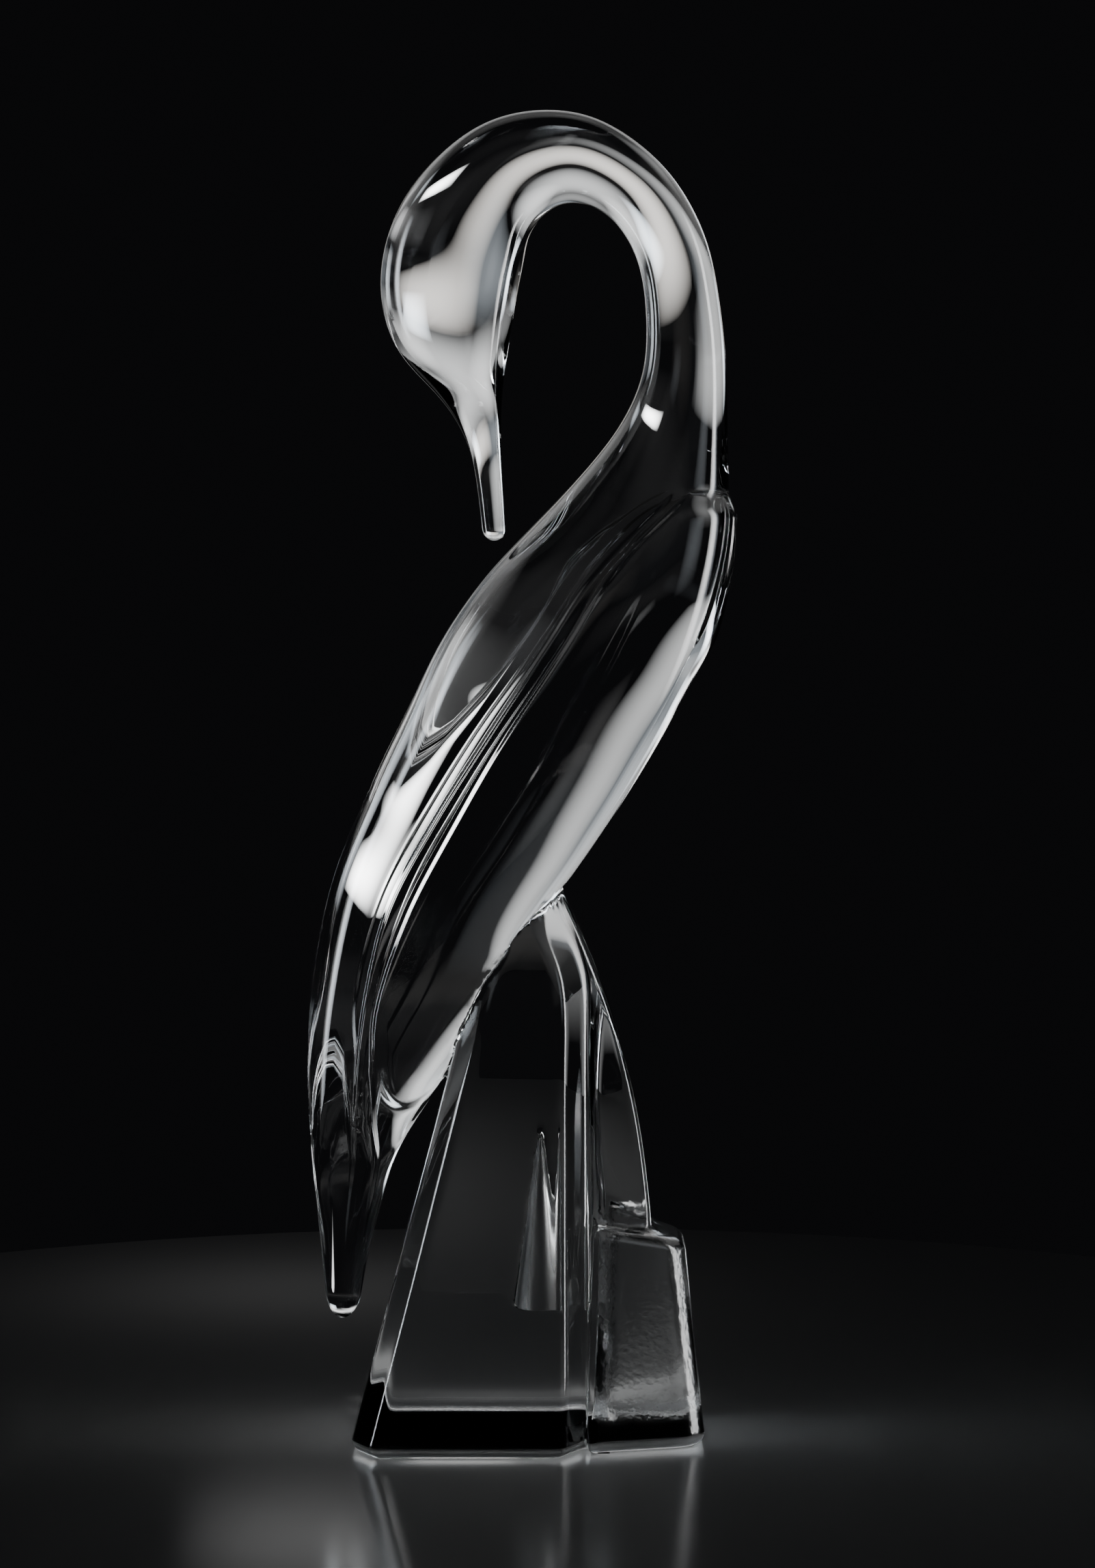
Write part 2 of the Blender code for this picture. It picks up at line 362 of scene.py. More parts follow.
@dataclass(frozen=True)
class Bird:
    """The preening bird, from tail tip to beak tip, as one loft of rounded sections."""

    height: float = 0.274
    tail_clearance: float = 0.026
    wing_edge: float = 0.0012
    wing_tier: float = 0.0007
    breast_lift: float = 0.0026
    edge_lip: float = 0.00015
    full_feather_half_depth: float = 0.020
    step_width: float = 0.0010
    tail_cap: float = 2.2
    beak_cap: float = 0.9
    evenness: float = 0.0032
    squareness: tuple[float, float] = (2.3, 2.0)
    stations: int = 400
    cap_stations: int = 12
    fine_steps: int = 4
    half_ring: tuple[int, ...] = (8, 6, 5, 6, 16, 6, 4)
    # Hundredths of the height: back x and z, breast x and z, and depth
    sections: tuple[tuple[float, float, float, float, float], ...] = (
        (-16.1, 0.0, -13.6, 0.0, 3.4),
        (-16.8, 7.8, -12.3, 8.1, 5.2),
        (-17.3, 12.9, -10.8, 13.4, 6.6),
        (-17.6, 17.3, -9.3, 16.4, 8.4),
        (-17.7, 22.0, -6.4, 20.8, 11.0),
        (-17.4, 26.8, -3.6, 25.2, 13.0),
        (-15.8, 35.8, -0.4, 30.8, 14.8),
        (-12.6, 44.0, 4.9, 37.7, 15.8),
        (-9.6, 50.2, 9.8, 45.2, 16.2),
        (-6.1, 57.0, 14.0, 53.2, 15.8),
        (-2.7, 61.7, 15.9, 59.3, 14.6),
        (0.2, 64.8, 16.8, 64.2, 12.8),
        (4.0, 68.8, 17.0, 68.5, 10.2),
        (7.7, 73.2, 16.9, 72.1, 8.2),
        (9.8, 77.5, 16.8, 77.0, 6.9),
        (10.2, 83.1, 16.3, 83.0, 6.3),
        (9.1, 88.2, 14.7, 90.0, 6.2),
        (6.6, 91.2, 11.2, 95.3, 6.5),
        (3.2, 91.8, 4.9, 99.2, 7.0),
        (0.9, 89.8, -2.5, 98.7, 8.0),
        (0.1, 86.8, -9.3, 92.8, 9.2),
        (-0.6, 83.2, -11.6, 85.4, 9.6),
        (-1.2, 79.4, -10.1, 79.6, 7.8),
        (-1.6, 76.2, -6.5, 75.9, 4.6),
        (-1.7, 72.4, -4.4, 72.4, 2.6),
        (-1.5, 67.8, -3.5, 67.8, 2.0),
        (-1.3, 64.3, -3.1, 64.3, 1.8),
    )
    # A section, and where the lower tier, the wing's edge and its hem cross it, as shares from the back
    feathers: tuple[tuple[float, float, float, float], ...] = (
        (0, 0.50, 0.86, 0.97),
        (1, 0.52, 0.86, 0.97),
        (2, 0.53, 0.82, 0.96),
        (3, 0.46, 0.66, 0.95),
        (4, 0.38, 0.50, 0.94),
        (5, 0.33, 0.41, 0.93),
        (6, 0.31, 0.42, 0.92),
        (7, 0.32, 0.415, 0.92),
        (8, 0.345, 0.42, 0.91),
        (9, 0.39, 0.465, 0.92),
        (10, 0.42, 0.50, 0.94),
        (11, 0.50, 0.58, 0.95),
        (12, 0.66, 0.76, 0.95),
    )
    # Sections between which the feathers rise, end at the shoulder, meet at the breast and get a hem,
    # and between which the body's rings turn into the neck's rounder ones
    tip_rise: tuple[float, float] = (0.1, 1.2)
    shoulder_end: tuple[float, float] = (11.45, 12.0)
    breast_meet: tuple[float, float] = (8.7, 9.7)
    hem_start: tuple[float, float] = (4.0, 7.0)
    neck_rounds: tuple[float, float] = (10.0, 14.0)
    # The first section of the belly over the rock, and the one after its last
    belly_sections: tuple[int, int] = (4, 9)

    def rows(self) -> np.ndarray:
        """Sections in metres, before the tail's clearance."""
        return np.array(self.sections) * self.height / 100

    def belly_height(self, x: float) -> float:
        """Height of the belly over the rock.

        Args:
            x: The place along the bird.

        Returns:
            The belly's height above the table there.
        """
        first, end = self.belly_sections
        low = self.rows()[first:end]
        return float(np.interp(x, low[:, 2], low[:, 3])) + self.tail_clearance

    def places(self) -> np.ndarray:
        """Distance of each section along the bird's own curve."""
        rows = self.rows()
        middles = (rows[:, 0:2] + rows[:, 2:4]) / 2
        return np.concatenate([[0.0], np.cumsum(np.linalg.norm(np.diff(middles, axis=0), axis=1))])

    def station_places(self, length: float) -> np.ndarray:
        """Where the loft's rings lie, closer together in its two round ends.

        Args:
            length: The length of the bird's curve.

        Returns:
            Distances along that curve.
        """
        unit = self.height / 100
        turn = np.linspace(0.0, math.pi / 2, self.cap_stations + 1)[1:]
        tail = self.tail_cap * unit * (1 - np.cos(turn))
        beak = length - self.beak_cap * unit * (1 - np.cos(turn[::-1]))
        between = np.linspace(tail[-1], beak[0], self.stations)
        return np.concatenate([tail, between[1:-1], beak])

    def ends(self, at: np.ndarray, length: float) -> np.ndarray:
        """Size of each ring as a share of its full size, where the ends round off.

        Args:
            at: Distances along the bird's curve.
            length: The whole length of it.

        Returns:
            One share for each distance.
        """
        unit = self.height / 100
        shares = np.ones_like(at)
        for distance, cap in ((at, self.tail_cap * unit), (length - at, self.beak_cap * unit)):
            shares *= np.sqrt(1 - (1 - np.clip(distance / cap, 0.0, 1.0)) ** 2)
        return shares

    def half_turns(self, shares: np.ndarray, half_depth: np.ndarray, square: np.ndarray) -> np.ndarray:
        """Angles round one side of each ring, with several close together at each feather edge.

        Args:
            shares: Where the three feather edges cross each ring.
            half_depth: Half of each ring's depth.
            square: How square each ring is.

        Returns:
            A row of angles from back to breast for each ring.
        """
        across = np.clip(2 * shares - 1, -1.0, 1.0)
        middle = np.arccos(-signed_power(across, square[:, None] / 2))
        step = (self.step_width / 2 / np.maximum(half_depth, self.step_width * 2))[:, None]
        edges = np.stack([middle - step, middle + step], axis=2).reshape(len(shares), -1)
        marks = np.pad(edges, ((0, 0), (1, 1)), constant_values=((0, 0), (0.0, math.pi)))
        return self.between(marks, smooth=False)

    def between(self, marks: np.ndarray, smooth: bool) -> np.ndarray:
        """Fill in the half ring's points between its marks.

        Args:
            marks: A row of values for each ring, one for each end of each stretch.
            smooth: Ease from mark to mark, not straight.

        Returns:
            A row of values for each ring, one for each point of the half ring.
        """
        zone = np.repeat(np.arange(len(self.half_ring)), self.half_ring)
        part = np.concatenate([np.arange(count) / count for count in self.half_ring])
        if smooth:
            part = part * part * (3 - 2 * part)
        low, high = marks[:, :-1][:, zone], marks[:, 1:][:, zone]
        return np.concatenate([low + (high - low) * part, marks[:, -1:]], axis=1)

    def half_lifts(self, folded: np.ndarray, closed: np.ndarray, whole: np.ndarray) -> np.ndarray:
        """How far the feathers stand out along the half ring.

        Args:
            folded: How far each ring's feathers stand out, as a share.
            closed: How far the wings have met at the breast, as a share.
            whole: How far the wing runs on round the tail without a hem, as a share.

        Returns:
            A row of heights for each ring.
        """
        tier = self.wing_tier * folded
        edge = tier + self.wing_edge * folded
        hemless = (self.wing_tier + self.wing_edge) * whole
        breast = np.maximum(self.breast_lift * closed, hemless) * folded
        flat = np.zeros_like(folded)
        marks = np.stack([flat, flat, tier, tier, edge, edge, breast, breast], axis=1)
        lips = np.zeros_like(marks)
        lips[:, 2] = lips[:, 4] = self.edge_lip * folded
        return self.between(marks + lips, smooth=True)

    def rings(self) -> list[np.ndarray]:
        """Rings of the whole bird.

        Returns:
            One ring of (x, y, z) points for each station.
        """
        rows, places = self.rows(), self.places()
        length = float(places[-1])
        numbers = np.arange(len(rows), dtype=float)
        at = self.station_places(length)
        fine = np.linspace(0.0, length, self.fine_steps * self.stations)
        even = settled(through(places, rows, fine), self.evenness / (fine[1] - fine[0]))
        shape = np.stack([np.interp(at, fine, column) for column in even.T], axis=1)

        section = np.interp(at, places, numbers)
        feathers = np.array(self.feathers)
        known = np.clip(section, feathers[0, 0], feathers[-1, 0])
        shares = through(feathers[:, 0], feathers[:, 1:], known)
        folded = ease(*self.tip_rise, section) * (1 - ease(*self.shoulder_end, section))
        closed = ease(*self.breast_meet, section)
        body, neck = self.squareness
        square = body + (neck - body) * ease(*self.neck_rounds, section)
        ends = self.ends(at, length)

        middle = (shape[:, 0:2] + shape[:, 2:4]) / 2 + [0.0, self.tail_clearance]
        reach = (shape[:, 2:4] - shape[:, 0:2]) / 2 * ends[:, None]
        half = np.linalg.norm(reach, axis=1)[:, None]
        half_depth = (shape[:, 4] / 2 * ends)[:, None]
        turns = self.half_turns(shares, half_depth[:, 0], square)
        folded = folded * np.minimum(1.0, half_depth[:, 0] / self.full_feather_half_depth)
        lifts = self.half_lifts(folded, closed, 1 - ease(*self.hem_start, section))
        turns = np.concatenate([turns, -turns[:, -2:0:-1]], axis=1)
        lifts = np.concatenate([lifts, lifts[:, -2:0:-1]], axis=1)

        power = square[:, None]
        u = -signed_power(np.cos(turns), 2 / power)
        v = -signed_power(np.sin(turns), 2 / power)
        out_u, out_v = signed_power(u, power - 1) / half, signed_power(v, power - 1) / half_depth
        size = np.hypot(out_u, out_v)
        along = u * half + out_u / size * lifts
        across = v * half_depth + out_v / size * lifts
        x = middle[:, :1] + reach[:, :1] / half * along
        z = middle[:, 1:] + reach[:, 1:] / half * along
        return list(np.stack([x, across, z], axis=2))

    def build(self) -> bpy.types.Object:
        """The bird as a closed object."""
        return skin("bird", self.rings())


@dataclass(frozen=True)
class Rock:
    """The rock of straight tapered blocks: an arched crag, a low ledge and a flute in the far face."""

    belly: float
    rear_foot: float = 0.0385
    rear_spring: float = 0.0136
    front: float = 0.0305
    crest: float = 0.0065
    depth_foot: float = 0.062
    depth_top: float = 0.025
    sink: float = 0.008
    top_gap: float = 0.001
    front_bow: int = 3
    arch_spring: float = 0.78
    face_end: float = 0.0093
    face_crest: float = 0.0018
    face_top_drop: float = 0.0055
    rear_facet: float = 0.0048
    rear_band: float = 0.72
    front_band: float = 0.38
    crest_taper: float = 0.4
    narrowest_face: float = 0.25
    groove_width: float = 0.0050
    groove_depth: float = 0.0090
    groove_floor: float = 0.55
    front_margin: float = 0.12
    corner: float = 0.0019
    foot_round: float = 0.0026
    foot_arcs: int = 5
    level_step: float = 0.0013
    evenness: float = 2.0
    bend: int = 6
    spacing: float = 0.0013

    ledge_end: float = 0.0412
    ledge_height: float = 0.0500
    ledge_fall: float = 0.0055
    ledge_draft_front: float = 0.0045
    ledge_draft_rear: float = 0.0018
    ledge_depth_foot: float = 0.052
    ledge_depth_top: float = 0.038
    ledge_turn: float = 0.0065
    ledge_corner: float = 0.0038

    flute_top: float = 0.066
    flute_foot: float = 0.0245
    flute_width: float = 0.0058
    flute_depth: float = 0.0075
    flute_place: float = 0.0042
    flute_point: float = 0.04
    flute_shallow: float = 0.3
    flute_ring: int = 40
    flute_levels: int = 36

    @property
    def top(self) -> float:
        """Height of the crag's hidden top, inside the bird."""
        return self.belly + self.sink

    def half_depth(self, z: float) -> float:
        """Half the crag's depth at a height, before its crest rounds over."""
        share = z / self.top
        return (self.depth_foot + (self.depth_top - self.depth_foot) * share) / 2

    @staticmethod
    def arch(z: float, spring: float, top: float) -> float:
        """Width of an arch at a height, as a share of its width below the spring."""
        return math.sqrt(max(0.0, 1 - max(0.0, (z - spring) / (top - spring)) ** 2))

    def crag_corners(self, z: float) -> Corners:
        """Corners of the crag at a height: sloping rear, side face, groove and front.

        Args:
            z: The height.

        Returns:
            The ring's corners.
        """
        spring = self.belly * self.arch_spring
        arch = self.arch(z, spring, self.top)
        lancet = max(self.narrowest_face, self.arch(z, spring, self.belly - self.face_top_drop))
        rear_line = -self.rear_foot + (self.rear_foot - self.rear_spring) * min(1.0, z / spring)
        rear = self.crest - (self.crest - rear_line) * arch
        front = self.crest + (self.front - self.crest) * (1 - (z / self.top) ** self.front_bow)
        half = self.half_depth(z) * (self.crest_taper + (1 - self.crest_taper) * arch)
        face_start = self.face_crest - (self.face_crest - rear_line - self.rear_facet) * lancet
        face_end = self.face_crest + (self.face_end - self.face_crest) * lancet
        groove = min(self.face_end + self.groove_width, front - self.front_margin * (front - rear))
        return mirrored([
            (rear, -half * self.rear_band),
            (face_start, -half),
            (face_end, -half),
            (groove, -max(half - self.groove_depth, half * self.groove_floor)),
            (front, -half * self.front_band),
        ])

    def crag_rings(self) -> list[np.ndarray]:
        """Level rings of the crag, with its foot rounded over.

        Returns:
            Rings of (x, y, z) points from the foot up.
        """
        last = self.top - self.top_gap
        levels = np.arange(self.foot_round, last, self.level_step)
        sides = side_counts(self.crag_corners(0.0), self.spacing)
        flats = [rounded(self.crag_corners(float(z)), self.corner, self.bend, sides) for z in levels]
        count = len(flats[0])
        even = settled(np.array(flats).reshape(len(levels), -1), self.evenness).reshape(-1, count, 2)
        rings = self.foot_rings(even[0])
        rings += [np.column_stack([flat, np.full(count, z)]) for flat, z in zip(even[1:], levels[1:])]
        return rings

    def foot_rings(self, flat: np.ndarray) -> list[np.ndarray]:
        """Rings that round a block over from its ground foot.

        Args:
            flat: The (x, y) ring just above the rounding.

        Returns:
            Rings from the foot up to that one.
        """
        radius = self.foot_round
        # A first ring inside the round, so that the flat foot's rim stays crisp
        spots = [(0.0, 2 * radius)]
        spots += [
            (radius * (1 - math.sin(turn)), radius * (1 - math.cos(turn)))
            for turn in np.linspace(math.pi / 2, 0.0, self.foot_arcs + 1)
        ]
        return [np.column_stack([inset(flat, depth), np.full(len(flat), z)]) for z, depth in spots]

    def ledge_rings(self) -> list[np.ndarray]:
        """Rings of the ledge, with its foot and its sloping top rounded over.

        Returns:
            Rings of (x, y, z) points from the foot up.
        """
        start = self.face_end + self.groove_width
        fall = self.ledge_fall / (self.ledge_end - start)
        radius = self.foot_round

        def corners(share: float) -> Corners:
            """The ledge's corners at a share of its height."""
            depth = self.ledge_depth_foot + (self.ledge_depth_top - self.ledge_depth_foot) * share
            near = depth / 2
            end = self.ledge_end - self.ledge_draft_front * share
            return mirrored([
                (start + self.ledge_draft_rear * share, -near),
                (end - self.ledge_corner, -near + self.ledge_turn),
                (end, -near + self.ledge_turn + self.ledge_corner),
            ])

        sides = side_counts(corners(0.0), self.spacing)

        def flat_ring(share: float) -> np.ndarray:
            """The ledge's rounded (x, y) ring at a share of its height."""
            return rounded(corners(share), self.corner, self.bend, sides)

        lift = radius / self.ledge_height
        rings = self.foot_rings(flat_ring(lift))
        step = self.level_step / self.ledge_height
        spots = [(float(share), 0.0) for share in np.arange(lift + step, 1 - lift, step)]
        spots += [
            (1 - lift + lift * math.sin(turn), radius * (1 - math.cos(turn)))
            for turn in np.linspace(0.0, math.pi / 2, self.foot_arcs + 1)
        ]
        spots.append((1.0, 2 * radius))
        for share, depth in spots:
            flat = inset(flat_ring(share), depth)
            height = share * (self.ledge_height - fall * (flat[:, 0] - start))
            rings.append(np.column_stack([flat, height]))
        return rings

    def flute_rings(self) -> list[np.ndarray]:
        """Rings of the cutter for the flute, which narrows to a point as it climbs the far face.

        Returns:
            Rings of (x, y, z) points from the foot up.
        """
        turns = np.linspace(0.0, 2 * math.pi, self.flute_ring, endpoint=False)
        rings = []
        for share in np.linspace(0.0, 1.0, self.flute_levels):
            z = self.flute_foot + (self.flute_top - self.flute_foot) * share
            width = 1 + (self.flute_point - 1) * share
            x = self.flute_place + self.flute_width * width * np.cos(turns)
            y = self.half_depth(z) + self.flute_depth * max(width, self.flute_shallow) * np.sin(turns)
            rings.append(np.column_stack([x, y, np.full(len(turns), z)]))
        return rings

    def build(self) -> tuple[bpy.types.Object, bpy.types.Object, bpy.types.Object]:
        """The crag, the ledge and the flute's cutter."""
        crag, ledge, flute = self.crag_rings(), self.ledge_rings(), self.flute_rings()
        return skin("crag", crag), skin("ledge", ledge), skin("flute", flute)


@dataclass(frozen=True)
class CastSolid:
    """The blocks fused into one solid, with the seams drawn smooth as they are in a mould."""

    seam_width: float = 0.0030
    seam_passes: int = 8
    foot_clear: float = 0.0032
    wave_height: float = 0.00022
    wave_scale: float = 34.0
    sharpest: float = math.radians(50)

    def tree(self) -> tuple[bpy.types.NodeTree, dict[str, str]]:
        """Build the Geometry Nodes tree that fuses the blocks.

        Returns:
            The tree, and the identifier of each of its inputs by name.
        """
        tree = bpy.data.node_groups.new("cast solid", "GeometryNodeTree")
        sockets = {"Bird": "NodeSocketGeometry"}
        sockets |= {name: "NodeSocketObject" for name in ("Crag", "Ledge", "Flute")}
        sizes = ("Seam Width", "Foot Clear", "Wave Height", "Wave Scale")
        sockets |= {name: "NodeSocketFloat" for name in sizes}
        sockets |= {"Seam Passes": "NodeSocketInt", "Crystal": "NodeSocketMaterial"}
        names = {
            name: tree.interface.new_socket(name, in_out="INPUT", socket_type=kind).identifier
            for name, kind in sockets.items()
        }
        tree.interface.new_socket("Solid", in_out="OUTPUT", socket_type="NodeSocketGeometry")
        graph = Graph(tree)
        given = graph.node("NodeGroupInput", {}, {}).outputs
        solid, seam = self.fused(graph, given)
        skinned = self.softened(graph, given, solid, seam)
        flat = graph.node("GeometryNodeTriangulate", {}, {0: skinned})
        real = graph.node("GeometryNodeRealizeInstances", {}, {0: flat.outputs[0]})
        dressed = graph.node("GeometryNodeSetMaterial", {}, {
            "Geometry": real.outputs[0], "Material": given["Crystal"],
        })
        graph.node("NodeGroupOutput", {}, {0: dressed.outputs[0]})
        return tree, names

    @staticmethod
    def fused(graph: Graph, given: Any) -> tuple[bpy.types.NodeSocket, bpy.types.NodeSocket]:
        """Fuse the bird and the blocks, and carve the flute.

        Args:
            graph: The tree's nodes.
            given: The tree's inputs, by name.

        Returns:
            The solid, and the seams between its parts.
        """
        seams: list[bpy.types.NodeSocket] = []

        def block(name: str) -> bpy.types.NodeSocket:
            """Geometry of one of the blocks."""
            made = graph.node("GeometryNodeObjectInfo", {"transform_space": "RELATIVE"}, {"Object": given[name]})
            return made.outputs["Geometry"]

        def joined(kind: Join, first: Any, second: Any) -> bpy.types.NodeSocket:
            """Fuse or carve two solids and note the seam between them.

            Args:
                kind: What the second solid does to the first.
                first: The solid that is changed.
                second: The solid that changes it.

            Returns:
                The changed solid.
            """
            inputs = {"Mesh 1": first, "Mesh 2": second}
            if kind is Join.FUSE:
                inputs = {"Mesh 2": [first, second]}
            settings = {"operation": kind.value, "solver": "MANIFOLD"}
            made = graph.node("GeometryNodeMeshBoolean", settings, inputs).outputs
            parted = graph.node("GeometryNodeSeparateGeometry", {"domain": "EDGE"}, {
                "Geometry": made["Mesh"], "Selection": made["Intersecting Edges"],
            })
            seams.append(parted.outputs["Selection"])
            return made["Mesh"]

        rock = joined(Join.FUSE, block("Crag"), block("Ledge"))
        rock = joined(Join.CARVE, rock, block("Flute"))
        solid = joined(Join.FUSE, given["Bird"], rock)
        return solid, graph.node("GeometryNodeJoinGeometry", {}, {"Geometry": seams}).outputs[0]

    @staticmethod
    def softened(
        graph: Graph, given: Any, solid: bpy.types.NodeSocket, seam: bpy.types.NodeSocket
    ) -> bpy.types.NodeSocket:
        """Draw the seams smooth and make the whole skin slightly wavy, but for the flat foot.

        Args:
            graph: The tree's nodes.
            given: The tree's inputs, by name.
            solid: The fused solid.
            seam: The seams between its parts.

        Returns:
            The softened solid.
        """
        edges = graph.node("GeometryNodeProximity", {"target_element": "EDGES"}, {0: seam})
        near = graph.ramp(edges.outputs["Distance"], (0.0, given["Seam Width"]), FALL)
        place = graph.node("GeometryNodeInputPosition", {}, {}).outputs[0]
        height = graph.node("ShaderNodeSeparateXYZ", {}, {0: place}).outputs["Z"]
        off_foot = graph.ramp(height, (0.0, given["Foot Clear"]), RISE)
        drawn = graph.node("GeometryNodeBlurAttribute", {"data_type": "FLOAT_VECTOR"}, {
            "Value": place, "Iterations": given["Seam Passes"], "Weight": near * off_foot,
        }).outputs[0]
        smooth = graph.node("GeometryNodeSetPosition", {}, {"Geometry": solid, "Position": drawn})

        wave = graph.noise(place, given["Wave Scale"], 0.0)
        swell = (wave - NOISE_MIDDLE) * off_foot * Value(graph, given["Wave Height"])
        normal = graph.node("GeometryNodeInputNormal", {}, {}).outputs[0]
        out = graph.node("ShaderNodeVectorMath", {"operation": "SCALE"}, {0: normal, "Scale": swell})
        wavy = graph.node("GeometryNodeSetPosition", {}, {
            "Geometry": smooth.outputs[0], "Offset": out.outputs[0],
        })
        return wavy.outputs[0]

    def cast(
        self, bird: bpy.types.Object, blocks: tuple[bpy.types.Object, ...], crystal: bpy.types.Material
    ) -> bpy.types.Object:
        """Fuse the blocks into one plain mesh.

        Args:
            bird: The bird's own solid.
            blocks: The crag, the ledge and the flute's cutter.
            crystal: The material of the whole piece.

        Returns:
            The finished piece, at the origin.
        """
        tree, names = self.tree()
        change = bird.modifiers.new("cast solid", "NODES")
        change.node_group = tree
        crag, ledge, flute = blocks
        for name, given in {
            "Crag": crag, "Ledge": ledge, "Flute": flute, "Crystal": crystal,
            "Seam Width": self.seam_width, "Seam Passes": self.seam_passes, "Foot Clear": self.foot_clear,
            "Wave Height": self.wave_height, "Wave Scale": self.wave_scale,
        }.items():
            change[names[name]] = given
        graph = bpy.context.evaluated_depsgraph_get()
        mesh = bpy.data.meshes.new_from_object(bird.evaluated_get(graph), depsgraph=graph)
        bird.modifiers.remove(change)
        for helper in (bird, *blocks):
            bpy.data.objects.remove(helper)
        mesh.name = "crystal_seabird"
        mesh.shade_smooth()
        mesh.set_sharp_from_angle(angle=self.sharpest)
        return placed("crystal_seabird", mesh)


@dataclass(frozen=True)
class CrystalFinish:
    """Clear lead crystal, fire-polished, with a trace of ripple and of handling on its skin."""

    tint: tuple[float, float, float, float] = (0.975, 0.985, 0.985, 1.0)
    deep_tint: tuple[float, float, float, float] = (0.955, 0.975, 0.985, 1.0)
    cloud_scale: float = 9.0
    cloud_detail: float = 1.0
    ior: float = 1.54
    smear: float = 0.02
    smear_scale: float = 55.0
    smear_detail: float = 3.0
    smear_start: tuple[float, float] = (0.5, 0.8)
    ripple_scale: float = 42.0
    ripple_height: float = 0.03
    ripple_reach: float = 0.0006
    # Roughness of the ledge, the foot's ground edge and the flute, and where each fades in or out
    ledge_satin: float = 0.15
    ledge_start: tuple[float, float] = (0.0158, 0.0172)
    ledge_top: tuple[float, float] = (0.0520, 0.0545)
    foot_satin: float = 0.4
    foot_start: tuple[float, float] = (0.0001, 0.0004)
    foot_end: tuple[float, float] = (0.0022, 0.0032)
    flute_satin: float = 0.28
    flute_middle: float = 0.0042
    flute_reach: tuple[float, float] = (0.0060, 0.0009)
    flute_span: tuple[float, float] = (0.0245, 0.0650)
    flute_depth: tuple[float, float] = (0.008, 0.010)
    flute_fade: float = 0.001
    flute_rim: float = 1e-6
    grain_scale: float = 900.0
    grain_detail: float = 1.0
    grain_height: float = 0.5
    grain_reach: float = 0.00012

    def make(self) -> bpy.types.Material:
        """Build the material.

        Returns:
            A see-through material whose roughness, colour and ripple vary over the surface.
        """
        material = bpy.data.materials.new("crystal")
        material.use_nodes = True
        graph = Graph(material.node_tree)
        shader = material.node_tree.nodes["Principled BSDF"]
        place = graph.node("ShaderNodeTexCoord", {}, {}).outputs["Object"]
        spot = graph.node("ShaderNodeSeparateXYZ", {}, {0: place}).outputs
        ledge = graph.ramp(spot["X"], self.ledge_start, RISE) * graph.ramp(spot["Z"], self.ledge_top, FALL)
        foot = graph.ramp(spot["Z"], self.foot_start, RISE) * graph.ramp(spot["Z"], self.foot_end, FALL)
        flute = self.flute(graph, spot)

        clouds = graph.noise(place, self.cloud_scale, self.cloud_detail)
        colour = graph.node("ShaderNodeMix", {"data_type": "RGBA"}, {
            "Factor": clouds, FIRST_COLOUR: self.tint, SECOND_COLOUR: self.deep_tint,
        }).outputs[MIXED_COLOUR]
        smears = graph.noise(place, self.smear_scale, self.smear_detail)
        wiped = graph.ramp(smears, self.smear_start, RISE, Slope.STRAIGHT)
        satin = ledge * self.ledge_satin + foot * self.foot_satin + flute * self.flute_satin
        ripple = graph.node("ShaderNodeBump", {}, {
            "Strength": self.ripple_height, "Distance": self.ripple_reach,
            "Height": graph.noise(place, self.ripple_scale, 0.0),
        }).outputs[0]
        grain = graph.noise(place, self.grain_scale, self.grain_detail)
        bump = graph.node("ShaderNodeBump", {}, {
            "Strength": self.grain_height, "Distance": self.grain_reach,
            "Height": grain * ledge, "Normal": ripple,
        }).outputs[0]

        graph.feed(shader.inputs["Base Color"], colour)
        graph.feed(shader.inputs["Roughness"], wiped * self.smear + satin)
        graph.feed(shader.inputs["Normal"], bump)
        graph.feed(shader.inputs["IOR"], self.ior)
        graph.feed(shader.inputs["Transmission Weight"], 1.0)
        return material

    def flute(self, graph: Graph, spot: Any) -> Value:
        """Tell the flute's own skin from the rest.

        Args:
            graph: The material's nodes.
            spot: The three coordinates, by name.

        Returns:
            One in the flute and zero elsewhere.
        """
        half = graph.ramp(spot["Z"], self.flute_span, self.flute_reach, Slope.STRAIGHT)
        across = Value(graph, spot["X"]) - self.flute_middle
        inside = graph.ramp(half * half - across * across, (0.0, self.flute_rim), RISE)
        far = graph.ramp(spot["Y"], self.flute_depth, RISE)
        low, high = self.flute_span
        above = graph.ramp(spot["Z"], (low - self.flute_fade, low), RISE)
        below = graph.ramp(spot["Z"], (high - self.flute_fade, high), FALL)
        return inside * far * above * below


@dataclass(frozen=True)
class FloorFinish:
    """Plain pale table top with a soft sheen."""

    colour: tuple[float, float, float, float] = (0.42, 0.42, 0.42, 1.0)
    roughness: float = 0.16

    def make(self) -> bpy.types.Material:
        """Build the plain material."""
        material = bpy.data.materials.new("table top")
        material.use_nodes = True
        shader = material.node_tree.nodes["Principled BSDF"]
        shader.inputs["Base Color"].default_value = self.colour
        shader.inputs["Roughness"].default_value = self.roughness
        return material


